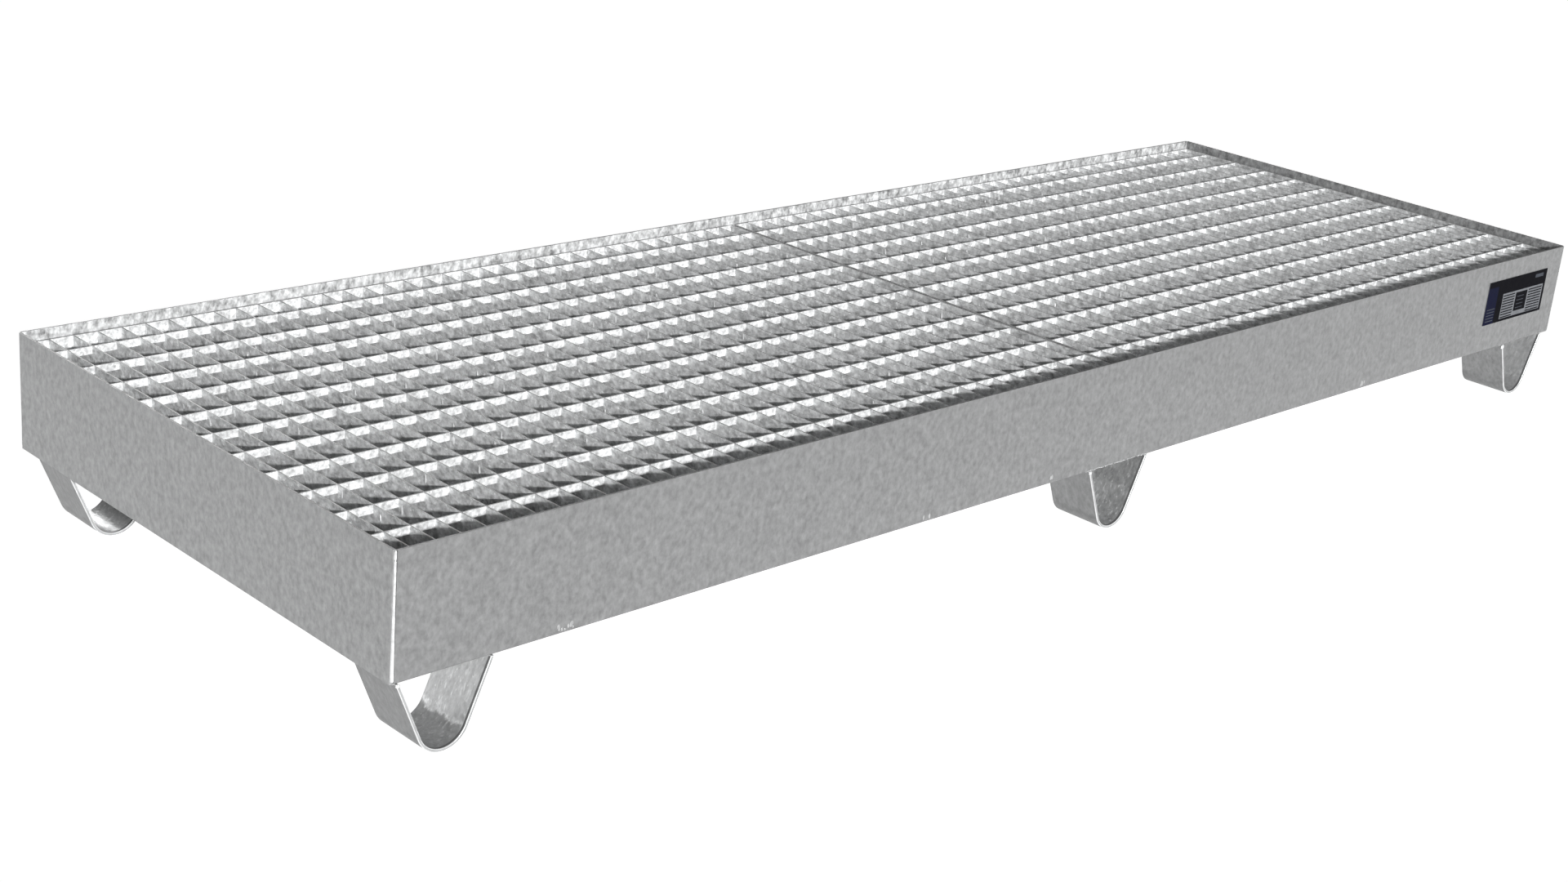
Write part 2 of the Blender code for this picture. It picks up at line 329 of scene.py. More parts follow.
def on_floor(tree):
    """1 on the top of the tray's floor and on the inner faces of its walls, 0 elsewhere."""
    return maths(tree, "MULTIPLY", within_walls(tree), over_sheet(tree, 0.5))


def bend_shading_factor(tree, height, lighter, below):
    """1 above the given height, 1 + lighter along it, and below under it, with a wavy edge: the factor
    of the painted light and shade at the feet's bends.
    """
    wave = swing(tree, noise(tree, stretched(tree, BEND_SHADING_SCALE), 3.0, 0.6), 0.3, 0.7, BEND_SHADING_WAVE)
    over = maths(tree, "SUBTRACT", maths(tree, "ADD", place_axes(tree)["Z"], wave), height)
    ridge = spread(tree, maths(tree, "ABSOLUTE", over), *BEND_SHADING_RIDGE, lighter, 0.0)
    return maths(tree, "ADD", spread(tree, over, -BEND_SHADING_FADE, 0.0, below, 1.0), ridge)


def bump(tree, shader, height, distance):
    node = tree.nodes.new("ShaderNodeBump")
    node.inputs["Distance"].default_value = distance
    tree.links.new(height, node.inputs["Height"])
    tree.links.new(node.outputs["Normal"], shader.inputs["Normal"])


# ---------------------------------------------------------------- materials


def finer(grain, factors):
    """The grain, with each axis multiplied by its own factor."""
    return tuple(axis * factor for axis, factor in zip(grain, factors))


def zinc(
    name,
    tone,
    metallic,
    roughness,
    mottle,
    flecks,
    streaks,
    relief,
    grain,
    floor=None,
    inside=None,
    top=None,
    bend_shading=None,
):
    """Hot-dip zinc: fine mottling, soft clouds, small crystals, bright flecks and runs.

    mottle, flecks and streaks are shares of the tone. relief is the depth of the bump. grain is the
    mottling's scale on each axis. floor, where given, is the tone and the metallic value on the top
    of the tray's floor. inside is the tone, the metallic value and the mottling's gain on the inner
    faces of the tray's walls; the brighter inside tone is painted light. top is the tone and the
    metallic value on other faces that look up; the darker top tone is painted shade. bend_shading is
    the height of a wavy line, the share by which the line is lighter, and the tone's factor below it:
    painted light and shade on the feet's bends.
    the tone's factor below it.
    """
    material, tree, shader = new_material(name)
    blot_vector = stretched(tree, finer(grain, BLOT_FACTORS), (5.0, 9.0, 2.0))
    crystal_vector = stretched(tree, finer(grain, CRYSTAL_FACTORS), (0.0, 4.0, 1.0))
    fleck_vector = stretched(tree, finer(grain, FLECK_FACTORS), (7.0, 2.0, 9.0))
    fine = noise(tree, stretched(tree, grain), 2.0, 0.6)
    blots = noise(tree, blot_vector, 2.0, 0.5)
    cloud = noise(tree, stretched(tree, CLOUD_SCALE, (3.1, 0.7, 5.3)), 3.0, 0.55)
    crystals = cells(tree, crystal_vector)
    fleck_noise = noise(tree, fleck_vector, 1.0)
    streak_noise = noise(tree, stretched(tree, STREAK_SCALE, (1.0, 8.0, 4.0)), 2.0, 0.6)
    base = tone
    metal = metallic
    gain = 1.0
    if floor:
        floored = on_floor(tree)
        base = switch(tree, floored, base, floor[0])
        metal = switch(tree, floored, metal, floor[1])
    # The inner faces of the walls get a brighter tone: painted light.
    if inside:
        within = inside_tray(tree)
        base = switch(tree, within, base, inside[0])
        metal = switch(tree, within, metal, inside[1])
        gain = switch(tree, within, 1.0, inside[2])
    # Faces that look up get a darker tone: painted shade.
    if top:
        looks_up = top_shade_mask(tree)
        base = switch(tree, looks_up, base, top[0])
        metal = switch(tree, looks_up, metal, top[1])
    # Painted light and shade at the feet's bends: a lighter wavy line and a tone factor below it.
    if bend_shading:
        base = maths(tree, "MULTIPLY", base, bend_shading_factor(tree, *bend_shading))
    feed(tree, shader.inputs["Metallic"], metal)
    pattern = total(
        tree,
        swing(tree, fine, 0.28, 0.72, mottle),
        swing(tree, blots, 0.28, 0.72, BLOT_SHARE * mottle),
        swing(tree, cloud, 0.25, 0.75, CLOUD_SHARE * mottle),
        swing(tree, crystals, 0.0, 1.0, CRYSTAL_SHARE * mottle),
        spread(tree, fleck_noise, 0.64, 0.74, 0.0, flecks),
        spread(tree, streak_noise, 0.58, 0.72, 0.0, streaks),
    )
    level = maths(tree, "ADD", maths(tree, "MULTIPLY", pattern, gain), 1.0)
    tree.links.new(grey(tree, maths(tree, "MULTIPLY", base, level)), shader.inputs["Base Color"])
    rough = total(
        tree,
        spread(tree, crystals, 0.0, 1.0, roughness - CRYSTAL_GLOSS, roughness + CRYSTAL_GLOSS),
        swing(tree, fine, 0.25, 0.75, MOTTLE_GLOSS),
    )
    tree.links.new(rough, shader.inputs["Roughness"])
    height = total(
        tree,
        fine,
        blots,
        maths(tree, "MULTIPLY", crystals, CRYSTAL_RELIEF),
        maths(tree, "MULTIPLY", fleck_noise, FLECK_RELIEF),
        maths(tree, "MULTIPLY", streak_noise, STREAK_RELIEF * streaks),
    )
    bump(tree, shader, height, relief)
    return material


def print_ink(name, color, roughness):
    """Printed foil: a little uneven in tone and gloss."""
    material, tree, shader = new_material(name)
    cloud = noise(tree, stretched(tree, INK_SCALE), 3.0, 0.6)
    level = spread(tree, cloud, 0.3, 0.7, *INK_LEVELS)
    gloss = spread(tree, cloud, 0.3, 0.7, roughness - INK_GLOSS, roughness + INK_GLOSS)
    combine = tree.nodes.new("ShaderNodeCombineColor")
    for channel, value in zip(combine.inputs, color):
        tree.links.new(maths(tree, "MULTIPLY", level, value), channel)
    tree.links.new(combine.outputs["Color"], shader.inputs["Base Color"])
    tree.links.new(gloss, shader.inputs["Roughness"])
    shader.inputs["Specular IOR Level"].default_value = INK_SHEEN
    bump(tree, shader, cloud, INK_RELIEF)
    return material


def plain_floor():
    """Pale floor that gives off a little light, and lets a view from below through."""
    material, tree, shader = new_material("studio_floor")
    shader.inputs["Base Color"].default_value = (FLOOR_TONE, FLOOR_TONE, FLOOR_TONE, 1.0)
    shader.inputs["Roughness"].default_value = FLOOR_ROUGHNESS
    shader.inputs["Emission Color"].default_value = WHITE
    shader.inputs["Emission Strength"].default_value = FLOOR_GLOW
    geometry = tree.nodes.new("ShaderNodeNewGeometry")
    clear = tree.nodes.new("ShaderNodeBsdfTransparent")
    mix = tree.nodes.new("ShaderNodeMixShader")
    output = tree.nodes["Material Output"]
    tree.links.new(geometry.outputs["Backfacing"], mix.inputs[0])
    tree.links.new(shader.outputs[0], mix.inputs[1])
    tree.links.new(clear.outputs[0], mix.inputs[2])
    tree.links.new(mix.outputs[0], output.inputs["Surface"])
    return material


def cover(node_object, material):
    """Puts one material on all of a CAD node."""
    node_object.data.materials.clear()
    node_object.data.materials.append(material)


# ---------------------------------------------------------------- studio


def build_floor():
    bm = bmesh.new()
    bmesh.ops.create_circle(bm, cap_ends=True, segments=64, radius=FLOOR_RADIUS)
    mesh = bpy.data.meshes.new("studio_floor")
    bm.to_mesh(mesh)
    bm.free()
    mesh.materials.append(plain_floor())
    floor = bpy.data.objects.new("studio_floor", mesh)
    bpy.context.scene.collection.objects.link(floor)
    return floor


def build_lamp(name, direction, strength, angle, floor):
    """A distant lamp. It leaves the floor out, so the floor stays plain."""
    light = bpy.data.lights.new(name, "SUN")
    light.energy = strength
    light.angle = angle
    lamp = bpy.data.objects.new(name, light)
    lamp.rotation_mode = "QUATERNION"
    lamp.rotation_quaternion = Vector(direction).to_track_quat("-Z", "Y")
    bpy.context.scene.collection.objects.link(lamp)
    receivers = bpy.data.collections.new(name + "_receivers")
    receivers.objects.link(floor)
    receivers.collection_objects[0].light_linking.link_state = "EXCLUDE"
    lamp.light_linking.receiver_collection = receivers


def build_sky():
    """Soft light from all round: bright walls near the horizon, a dim ceiling overhead."""
    world = bpy.data.worlds.new("studio")
    bpy.context.scene.world = world
    world.use_nodes = True
    tree = world.node_tree
    coordinates = tree.nodes.new("ShaderNodeTexCoord")
    axes = tree.nodes.new("ShaderNodeSeparateXYZ")
    tree.links.new(coordinates.outputs["Generated"], axes.inputs[0])
    level = spread(tree, axes.outputs["Z"], *SKY_FADE, SKY_LOW, SKY_HIGH)
    background = tree.nodes["Background"]
    background.inputs["Color"].default_value = WHITE
    tree.links.new(level, background.inputs["Strength"])


def build_camera():
    lens = bpy.data.cameras.new("camera")
    lens.lens = CAMERA_LENS
    lens.sensor_width = CAMERA_SENSOR
    lens.clip_start, lens.clip_end = CAMERA_CLIP
    camera = bpy.data.objects.new("camera", lens)
    camera.location = CAMERA_LOCATION
    camera.rotation_euler = CAMERA_TURN
    bpy.context.scene.collection.objects.link(camera)
    bpy.context.scene.camera = camera


def build_studio():
    bpy.context.scene.view_settings.view_transform = "Standard"
    floor = build_floor()
    build_lamp("key", KEY_DIRECTION, KEY_STRENGTH, KEY_ANGLE, floor)
    build_lamp("fill", FILL_DIRECTION, FILL_STRENGTH, FILL_ANGLE, floor)
    build_sky()
    build_camera()


# ---------------------------------------------------------------- mesh helpers


def new_piece(name, bm, materials, replaced=(), body="tray"):
    """Makes a piece from bm, gives it its materials, and lets it ride on a body."""
    bmesh.ops.recalc_face_normals(bm, faces=bm.faces)
    mesh = bpy.data.meshes.new(name)
    bm.to_mesh(mesh)
    bm.free()
    for material in materials:
        mesh.materials.append(material)
    mesh.shade_smooth()
    mesh.set_sharp_from_angle(angle=SHARP_ANGLE)
    piece = bpy.data.objects.new(name, mesh)
    bpy.context.scene.collection.objects.link(piece)
    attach(piece, body)
    if replaced:
        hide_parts(*replaced)
    return piece


def round_edges(piece, radius, material_index):
    """Rounds the sharp edges, as a thick zinc coat does, and gives them a material of their own; on the
    feet it is a brighter tone, a painted highlight.
    """
    bevel = piece.modifiers.new("round_edges", "BEVEL")
    bevel.width = radius
    bevel.segments = 2
    bevel.limit_method = "ANGLE"
    bevel.angle_limit = SHARP_ANGLE
    bevel.material = material_index
    normals = piece.modifiers.new("flat_faces", "WEIGHTED_NORMAL")
    normals.keep_sharp = False


def bead_taper(place, length, leg, end_share, restart):
    """The bead's size at a place along it, as a share of its full size."""
    to_tip = min(place, length - place) / leg
    taper = math.sqrt(min(1.0, to_tip + BEAD_TIP_SHARE))
    taper *= 1.0 + (end_share - 1.0) * min(1.0, BEAD_NARROWING * place / length)
    if restart is not None:
        from_restart = (place - restart) / BEAD_RESTART_WIDTH
        taper *= 1.0 - BEAD_RESTART_DIP * math.exp(-(from_restart**2))
    return taper


def bead_ripple(place, bow):
    """0 between two scales of the bead and 1 on a scale. The scales bow forwards in the middle."""
    return 0.5 - 0.5 * math.cos(2 * math.pi * (place / BEAD_PITCH + BEAD_SCALE_BOW * bow))


def add_bead(bm, root, first, second, along, length, leg, crown, ripple, end_share=1.0, restart=None):
    """Adds a weld bead, whose ripples lie like scales.

    root is the notch's corner at the bead's start. first and second point from it along the two
    plates, and along is the way the bead runs. The bead narrows to end_share of its size on the way,
    and thins at restart, where the welder began again.
    """
    turn = first.angle(second)
    steps = max(8, round(length / BEAD_STEP))
    rings = []
    for step in range(steps + 1):
        place = length * step / steps
        taper = bead_taper(place, length, leg, end_share, restart)
        ring = [bm.verts.new(root + along * place)]
        for arc_step in range(BEAD_ARC_STEPS + 1):
            share = arc_step / BEAD_ARC_STEPS
            bow = math.sin(math.pi * share)
            rippled = 1.0 - ripple * bead_ripple(place, bow) * bow
            radius = (leg + (crown - leg) * bow) * taper * rippled
            way = first * math.sin((1 - share) * turn) + second * math.sin(share * turn)
            ring.append(bm.verts.new(root + along * place + way * (radius / math.sin(turn))))
        rings.append(ring)
    for ring, following in zip(rings, rings[1:]):
        for index in range(len(ring)):
            after = (index + 1) % len(ring)
            bm.faces.new((ring[index], ring[after], following[after], following[index]))
    bm.faces.new(rings[0])
    bm.faces.new(rings[-1])


def new_drops(name, drops, materials, body="tray"):
    """Makes one piece of many zinc drops: oval lumps, fuller towards their lower ends.

    Each drop is (place, across, out, width, height, rise).
    """
    ball = bmesh.new()
    bmesh.ops.create_icosphere(ball, subdivisions=2, radius=1.0)
    points = [vert.co.copy() for vert in ball.verts]
    faces = [[vert.index for vert in face.verts] for face in ball.faces]
    ball.free()
    all_points = []
    all_faces = []
    for place, across, out, width, height, rise in drops:
        first = len(all_points)
        for a, b, c in points:
            full = 1.0 - DROP_SAG * c
            sideways = across * (a * full * width / 2) + out * (b * full * rise)
            all_points.append(place + sideways + Vector((0, 0, c * height / 2)))
        all_faces.extend([first + index for index in face] for face in faces)
    mesh = bpy.data.meshes.new(name + "_drops")
    mesh.from_pydata(all_points, [], all_faces)
    bm = bmesh.new()
    bm.from_mesh(mesh)
    bpy.data.meshes.remove(mesh)
    return new_piece(name, bm, materials, body=body)


# ---------------------------------------------------------------- feet


def arc(centre, radius, start, end, steps):
    points = []
    for step in range(steps + 1):
        angle = start + (end - start) * step / steps
        points.append((centre[0] + radius * math.cos(angle), centre[1] + radius * math.sin(angle)))
    return points


def strip_outlines(low, high):
    """The bent strip's outer and inner outline in the XZ plane: leg, bend, leg."""
    half = (high.x - low.x) / 2
    depth = high.z - low.z
    cos_leg = math.cos(STRIP_LEG_ANGLE)
    sin_leg = math.sin(STRIP_LEG_ANGLE)
    radius = (half * cos_leg - depth * sin_leg) / (1 - sin_leg)
    middle = ((low.x + high.x) / 2, low.z + radius)
    ends = (math.pi + STRIP_LEG_ANGLE, 2 * math.pi - STRIP_LEG_ANGLE)
    inner_half = half - STRIP_THICKNESS / cos_leg
    outer = arc(middle, radius, *ends, STRIP_BEND_STEPS)
    inner = arc(middle, radius - STRIP_THICKNESS, *ends, STRIP_BEND_STEPS)
    outer = [(middle[0] - half, high.z)] + outer + [(middle[0] + half, high.z)]
    inner = [(middle[0] - inner_half, high.z)] + inner + [(middle[0] + inner_half, high.z)]
    return outer, inner


def build_foot(name, materials):
    """The bent strip, with a smooth bend and rounded edges.

    materials are the finishes of its outside, its inside, its cut edges, the margin of the inside
    next to the front cut edge, darker as painted shade, and the rounded edges, brighter as a painted
    highlight.
    """
    low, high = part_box(name)
    outer, inner = strip_outlines(low, high)
    places = (low.y, low.y + STRIP_MARGIN, high.y - STRIP_MARGIN, high.y)
    bm = bmesh.new()
    outer_rows = [[bm.verts.new((x, y, z)) for x, z in outer] for y in places]
    inner_rows = [[bm.verts.new((x, y, z)) for x, z in inner] for y in places]
    skin, inside, edge, margin, rim = range(5)
    strips = [(outer_rows[0], inner_rows[0], edge), (outer_rows[-1], inner_rows[-1], edge)]
    for index, inner_finish in enumerate((margin, inside, inside)):
        strips.append((outer_rows[index], outer_rows[index + 1], skin))
        strips.append((inner_rows[index], inner_rows[index + 1], inner_finish))
    for first, second, finish in strips:
        for index in range(len(first) - 1):
            face = bm.faces.new((first[index], first[index + 1], second[index + 1], second[index]))
            face.material_index = finish
    for end in (0, -1):
        around = [row[end] for row in outer_rows] + [row[end] for row in reversed(inner_rows)]
        bm.faces.new(around).material_index = edge
    piece = new_piece(name + "_strip", bm, materials, [name])
    round_edges(piece, STRIP_EDGE_RADIUS, rim)


# ---------------------------------------------------------------- welds


def build_corner_bead(node, metal):
    """The upright bead that fills the notch where an end wall meets the pan."""
    low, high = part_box(node)
    side_x = 1 if low.x > 0 else -1
    side_y = 1 if low.y > 0 else -1
    root = Vector((low.x if side_x > 0 else high.x, low.y if side_y > 0 else high.y, low.z))
    leg = high.x - low.x
    length = high.z - low.z
    restart = length - BEAD_RESTART
    bm = bmesh.new()
    ways = (Vector((side_x, 0, 0)), Vector((0, side_y, 0)))
    add_bead(bm, root, *ways, UP, length, leg, leg, CORNER_BEAD_RIPPLE, CORNER_BEAD_END, restart)
    new_piece(node + "_bead", bm, [metal], [node])


def build_seam_bead(node, metal):
    """The liquid-tight fillet along the inside foot of an end wall."""
    low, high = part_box(node)
    side = 1 if low.x > 0 else -1
    root = Vector((high.x if side > 0 else low.x, low.y, low.z))
    leg = high.x - low.x
    length = high.y - low.y
    bm = bmesh.new()
    ways = (Vector((-side, 0, 0)), UP)
    add_bead(bm, root, *ways, ALONG_Y, length, leg, leg * SEAM_BEAD_CROWN, SEAM_BEAD_RIPPLE)
    new_piece(node + "_bead", bm, [metal], [node])


def build_foot_beads(foot, metal):
    """Each leg of a foot is welded to the pan on its outer and its inner side."""
    low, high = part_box(foot)
    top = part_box("sump_pan")[0].z
    cos_leg = math.cos(STRIP_LEG_ANGLE)
    sin_leg = math.sin(STRIP_LEG_ANGLE)
    length = high.y - low.y - 2 * FOOT_BEAD_MARGIN
    y = low.y + FOOT_BEAD_MARGIN
    inner_leg = FOOT_BEAD_LEG * FOOT_BEAD_INNER
    for side, name, outer_x in ((-1, "left", low.x), (1, "right", high.x)):
        bm = bmesh.new()
        leg_way = Vector((-side * sin_leg, 0, -cos_leg))
        inner_x = outer_x - side * STRIP_THICKNESS / cos_leg
        for x, floor_way, leg in ((outer_x, side, FOOT_BEAD_LEG), (inner_x, -side, inner_leg)):
            root = Vector((x, y, top))
            ways = (Vector((floor_way, 0, 0)), leg_way)
            add_bead(bm, root, *ways, ALONG_Y, length, leg, leg * FOOT_BEAD_CROWN, FOOT_BEAD_RIPPLE)
        node = foot + "_" + name + "_weld"
        new_piece(node + "_bead", bm, [metal], [node])


# ---------------------------------------------------------------- gratings


def run_on_face(bar_x, face, cell_y, top):
    """A run of zinc on one face of a bearing bar, within one bay of the cross bars."""
    y = cell_y + random.uniform(*RUN_PLACE) * CROSS_BAR_PITCH
    z = top - random.uniform(*RUN_DEPTH)
    place = Vector((bar_x + face * BEARING_BAR_THICKNESS / 2, y, z))
    width = random.uniform(*RUN_WIDTH)
    height = random.uniform(*RUN_HEIGHT)
    rise = random.uniform(*RUN_RISE)
    return (place, ALONG_Y, Vector((face, 0, 0)), width, height, rise)


def drop_on_edge(bar_x, cell_y, top):
    """A drop on the lower edge of a bearing bar, within one bay of the cross bars."""
    y = cell_y + random.uniform(*TIP_PLACE) * CROSS_BAR_PITCH
    place = Vector((bar_x, y, top - BAR_HEIGHT))
    return (place, ALONG_Y, ALONG_X, random.uniform(*TIP_WIDTH), TIP_HEIGHT, TIP_RISE)


def build_grating_runs(side, metal):
    """Zinc that ran down the bearing bars and set in drops, on both faces and along the lower edges."""
    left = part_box(side + "_grating_left_end_bar")[0].x
    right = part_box(side + "_grating_right_end_bar")[1].x
    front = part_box(side + "_grating_front_edge_bar")[0].y
    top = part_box(side + "_grating_lattice")[1].z
    first_bar = (left + right) / 2 - (BEARING_BAR_COUNT - 1) / 2 * BEARING_BAR_PITCH
    drops = []
    for bar in range(BEARING_BAR_COUNT):
        bar_x = first_bar + bar * BEARING_BAR_PITCH
        for cell in range(CROSS_BAR_COUNT - 1):
            cell_y = front + FIRST_CROSS_BAR + cell * CROSS_BAR_PITCH
            for face in (-1, 1):
                if random.random() < RUN_SHARE:
                    drops.append(run_on_face(bar_x, face, cell_y, top))
            drops.append(drop_on_edge(bar_x, cell_y, top))
    new_drops(side + "_grating_zinc_runs", drops, [metal], side + "_grating")


# ---------------------------------------------------------------- label


def label_fields():
    """The printed fields in shares of the foil: ink, left, bottom, right, top. Later ones lie on top."""
    fields = [
        (BLACK_INK, 0.0, 0.0, 1.0, 1.0),
        (NAVY_INK, 0.0, 0.0, 0.17, 0.86),
        (GREY_INK, 0.80, 0.84, 0.94, 0.92),
        (PAPER, 0.27, 0.06, 0.965, 0.65),
    ]
    for line in range(5):
        base = 0.07 + line * 0.068
        fields.append((GREY_INK, 0.03, base, 0.16, base + 0.02))
    for line in range(9):
        base = 0.075 + line * 0.063
        fields.append((BLACK_INK, 0.28, base, 0.48, base + 0.028))
        fields.append((BLACK_INK, 0.72, base, 0.95, base + 0.028))
    fields.append((BLACK_INK, 0.50, 0.16, 0.70, 0.60))
    for line in range(4):
        base = 0.22 + line * 0.09
        fields.append((GREY_INK, 0.53, base, 0.65, base + 0.015))
    return fields


def ink_at(fields, u, v):
    """The ink of the topmost field at a place on the foil."""
    return [ink for ink, left, bottom, right, top in fields if left < u < right and bottom < v < top][-1]


def build_label(inks):
    """A printed foil without lettering: dark header and left column, and a pale table with plain bars."""
    low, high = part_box("rating_label")
    width = high.x - low.x
    height = high.z - low.z
    fields = label_fields()
    across = sorted({edge for field in fields for edge in (field[1], field[3])})
    levels = sorted({edge for field in fields for edge in (field[2], field[4])})
    bm = bmesh.new()

    def point(u, v, front):
        swell = FOIL_SWELL * math.sin(9.0 * u + 2.0) * math.sin(5.0 * v)
        y = low.y + FOIL_CLEARANCE + swell if front else high.y
        return bm.verts.new((low.x + u * width, y, low.z + v * height))

    layers = [[[point(u, v, front) for v in levels] for u in across] for front in (True, False)]
    for i in range(len(across) - 1):
        for j in range(len(levels) - 1):
            centre_u = (across[i] + across[i + 1]) / 2
            centre_v = (levels[j] + levels[j + 1]) / 2
            for layer, ink in zip(layers, (ink_at(fields, centre_u, centre_v), PAPER)):
                corners = (layer[i][j], layer[i + 1][j], layer[i + 1][j + 1], layer[i][j + 1])
                bm.faces.new(corners).material_index = ink
    rims = []
    for layer in layers:
        bottom = [row[0] for row in layer]
        top = [row[-1] for row in layer]
        rims.append(bottom + layer[-1][1:] + top[-2::-1] + layer[0][-2:0:-1])
    for index in range(len(rims[0])):
        after = (index + 1) % len(rims[0])
        face = bm.faces.new((rims[0][index], rims[0][after], rims[1][after], rims[1][index]))
        face.material_index = PAPER
    new_piece("rating_label_print", bm, inks, ["rating_label"])


# ---------------------------------------------------------------- tray details


def build_wall_drips(metal):
    """Rough zinc left on the front wall's lower edge where it drained out of the bath."""
    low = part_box("sump_pan")[0]
    drops = []
    for centre, width, count in DRIP_PATCHES:
        for _ in range(count):
            x = centre + random.uniform(-0.5, 0.5) * width
            z = low.z + DRIP_BASE + random.uniform(0.0, DRIP_SPREAD)
            size = random.uniform(*DRIP_SIZE)
            tall = size * random.uniform(*DRIP_STRETCH)
            drops.append((Vector((x, low.y, z)), ALONG_X, TO_FRONT, size, tall, DRIP_RISE))
    new_drops("front_wall_zinc_drips", drops, [metal])


def build_foot_spatter(foot, metal):
    """Rough zinc along the wall's lower edge over a front foot."""
    low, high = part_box(foot)
    wall_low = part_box("sump_pan")[0]
    drops = []
    x = low.x
    while x < high.x:
        width = random.uniform(*SPATTER_WIDTH)
        z = wall_low.z + random.uniform(*SPATTER_LEVEL)
        place = Vector((x, wall_low.y + SPATTER_SINK, z))
        height = random.uniform(*SPATTER_HEIGHT)
        drops.append((place, ALONG_X, TO_FRONT, width, height, SPATTER_RISE))
        x += width * random.uniform(*SPATTER_STEP)
    new_drops(foot + "_spatter", drops, [metal])


def build_foot_blob(foot, metal, size):
    """A blob of zinc at the top of the left leg's cut edge."""
    low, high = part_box(foot)
    place = Vector((low.x + BLOB_INSET, low.y + BLOB_SINK, high.z - size / 3))
    drop = (place, ALONG_X, TO_FRONT, size, 0.9 * size, BLOB_RISE)
    new_drops(foot + "_blob", [drop], [metal])


# ---------------------------------------------------------------- the object


def strip_finishes():
    """The feet's finishes: outside, cut edges, front margin, rounded edges, and each column's inside.
    The darker front margin is painted shade, the brighter rounded edges a painted highlight, and the
    columns' different inside tones painted light and shade.
    """
    # The outside is darker low on the bend: painted shade.
    outer = zinc(
        "strip_outer", tone=0.255, metallic=0.92, roughness=0.48, mottle=0.18, flecks=0.12,
        streaks=0.06, relief=0.00012, grain=STRIP_GRAIN, bend_shading=(0.024, 0.0, 0.86),
    )
    edge = zinc(
        "strip_edge", tone=0.34, metallic=0.40, roughness=0.45, mottle=0.14, flecks=0.15,
        streaks=0.05, relief=0.00010, grain=STRIP_GRAIN,
    )
    # The front margin is darker: painted shade.
    margin = zinc(
        "strip_margin_painted_shade", tone=0.20, metallic=0.60, roughness=0.45, mottle=0.14, flecks=0.15,
        streaks=0.05, relief=0.00010, grain=STRIP_GRAIN,
    )
    # The rounded edges are brighter: a painted highlight.
    rim = zinc(
        "strip_rim_painted_highlight", tone=0.60, metallic=0.30, roughness=0.35, mottle=0.10, flecks=0.10,
        streaks=0.05, relief=0.00008, grain=STRIP_GRAIN,
    )
    # Each column's inside has its own tone, brightest on the left and darkest in the middle: painted
    # light and shade for the light and reflections each foot catches.
    left = zinc(
        "strip_inner_left_painted_light", tone=0.60, metallic=0.55, roughness=0.40, mottle=0.18, flecks=0.35,
        streaks=0.35, relief=0.0003, grain=STRIP_GRAIN, bend_shading=(0.021, 0.25, 0.68),
    )
    middle = zinc(
        "strip_inner_middle_painted_shade", tone=0.355, metallic=0.55, roughness=0.40, mottle=0.24, flecks=0.60,
        streaks=0.45, relief=0.0003, grain=STRIP_GRAIN, bend_shading=(0.05, 0.0, 1.25),
    )
    right = zinc(
        "strip_inner_right_painted_light", tone=0.46, metallic=0.40, roughness=0.40, mottle=0.18, flecks=0.20,
        streaks=0.15, relief=0.0002, grain=STRIP_GRAIN, bend_shading=(0.0235, 0.1, 0.9),
    )
    return outer, edge, margin, rim, {"left": left, "middle": middle, "right": right}


def build_feet(frame, bead, smudge):
    outer, edge, margin, rim, inner = strip_finishes()
    for name in frame["nodes"]:
        if not name.endswith("_foot"):
            continue
        row, column, _ = name.split("_")
        build_foot(name, [outer, inner[column], edge, margin, rim])
        build_foot_beads(name, bead)
        if row == "front":
            build_foot_blob(name, bead, RIGHT_BLOB_SIZE if column == "right" else BLOB_SIZE)
    build_foot_spatter("front_middle_foot", smudge)


def finish_tray(frame):
    # The pan's outside is darker than the end walls', a painted shade that evens out the stronger key
    # light on the front wall.
    pan = zinc(
        "sheet_pan", tone=0.218, metallic=0.50, roughness=0.50, mottle=0.20, flecks=0.06,
        streaks=0.02, relief=0.00009, grain=SHEET_GRAIN,
        floor=(0.40, 0.20), inside=(0.53, 0.30, 2.8), top=(0.12, 0.0),
    )
    wall = zinc(
        "sheet_wall", tone=0.320, metallic=0.50, roughness=0.50, mottle=0.20, flecks=0.06,
        streaks=0.02, relief=0.00009, grain=SHEET_GRAIN, inside=(0.36, 0.50, 2.2), top=(0.18, 0.0),
    )
    angle = zinc(
        "rolled_angle", tone=0.32, metallic=0.85, roughness=0.50, mottle=0.14, flecks=0.10,
        streaks=0.06, relief=0.00012, grain=SHEET_GRAIN,
    )
    for name, node in frame["nodes"].items():
        if name.endswith("_pan"):
            cover(node, pan)
        elif name.endswith("_wall"):
            cover(node, wall)
        elif name.endswith("_angle"):
            cover(node, angle)


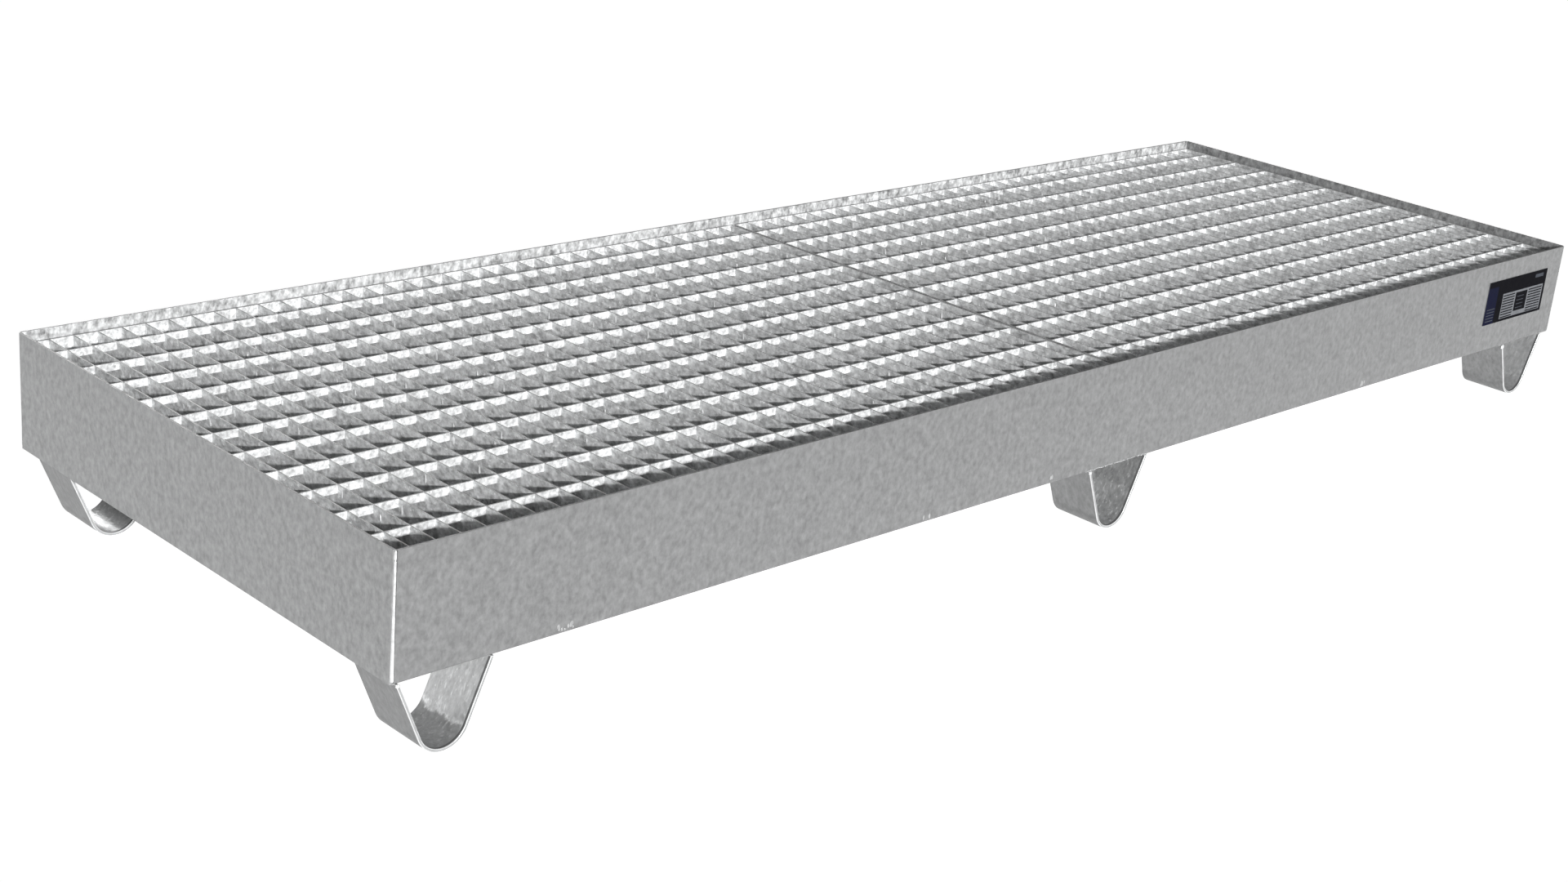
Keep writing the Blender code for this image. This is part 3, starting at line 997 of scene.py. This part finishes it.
def finish_gratings(frame):
    bar = zinc(
        "grating_bar", tone=0.67, metallic=0.15, roughness=0.50, mottle=0.38, flecks=0.40,
        streaks=0.03, relief=0.00040, grain=BAR_GRAIN, top=(0.28, 0.0),
    )
    end_bar = zinc(
        "grating_end_bar", tone=0.61, metallic=0.15, roughness=0.50, mottle=0.40, flecks=0.30,
        streaks=0.03, relief=0.00040, grain=BAR_GRAIN, top=(0.50, 0.0),
    )
    # The bar on the right grating's side of the joint is darker: painted shade in the joint.
    shaded_joint_bar = zinc(
        "grating_joint_bar_painted_shade", tone=0.32, metallic=0.15, roughness=0.50, mottle=0.34, flecks=0.30,
        streaks=0.03, relief=0.00040, grain=BAR_GRAIN, top=(0.24, 0.0),
    )
    run = zinc(
        "zinc_run", tone=0.84, metallic=0.20, roughness=0.35, mottle=0.08, flecks=0.05,
        streaks=0.0, relief=0.00005, grain=BAR_GRAIN,
    )
    for name, node in frame["nodes"].items():
        if name == "right_grating_left_end_bar":
            cover(node, shaded_joint_bar)
        elif name.endswith("_end_bar"):
            cover(node, end_bar)
        elif "grating" in name:
            cover(node, bar)
    for side in ("left", "right"):
        build_grating_runs(side, run)


def finish_label():
    """Builds the label. The inks stand in the order of NAVY_INK, BLACK_INK, PAPER and GREY_INK."""
    build_label(
        [
            print_ink("label_navy", (0.0035, 0.0045, 0.017), 0.55),
            print_ink("label_black", (0.0022, 0.0022, 0.0036), 0.60),
            print_ink("label_paper", (0.125, 0.13, 0.14), 0.55),
            print_ink("label_grey", (0.045, 0.05, 0.06), 0.55),
        ]
    )


def build_object(frame):
    bead = zinc(
        "weld_bead", tone=0.60, metallic=0.30, roughness=0.34, mottle=0.16, flecks=0.05,
        streaks=0.0, relief=0.00006, grain=BAR_GRAIN,
    )
    smudge = zinc(
        "zinc_smudge", tone=0.40, metallic=0.60, roughness=0.40, mottle=0.15, flecks=0.10,
        streaks=0.0, relief=0.00010, grain=BAR_GRAIN,
    )
    finish_tray(frame)
    build_feet(frame, bead, smudge)
    for name in frame["nodes"]:
        if name.endswith("corner_weld"):
            build_corner_bead(name, bead)
        elif name.endswith("seam_weld"):
            build_seam_bead(name, bead)
    finish_gratings(frame)
    finish_label()
    build_wall_drips(smudge)


random.seed(4)
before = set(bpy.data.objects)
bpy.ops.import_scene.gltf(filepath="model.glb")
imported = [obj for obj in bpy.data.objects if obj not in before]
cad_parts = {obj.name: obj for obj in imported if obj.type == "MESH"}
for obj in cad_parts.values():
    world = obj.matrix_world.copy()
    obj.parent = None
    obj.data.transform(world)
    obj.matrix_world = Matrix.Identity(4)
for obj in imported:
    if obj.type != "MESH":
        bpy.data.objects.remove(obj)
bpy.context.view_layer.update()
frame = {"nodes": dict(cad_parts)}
build_studio()
build_object(frame)
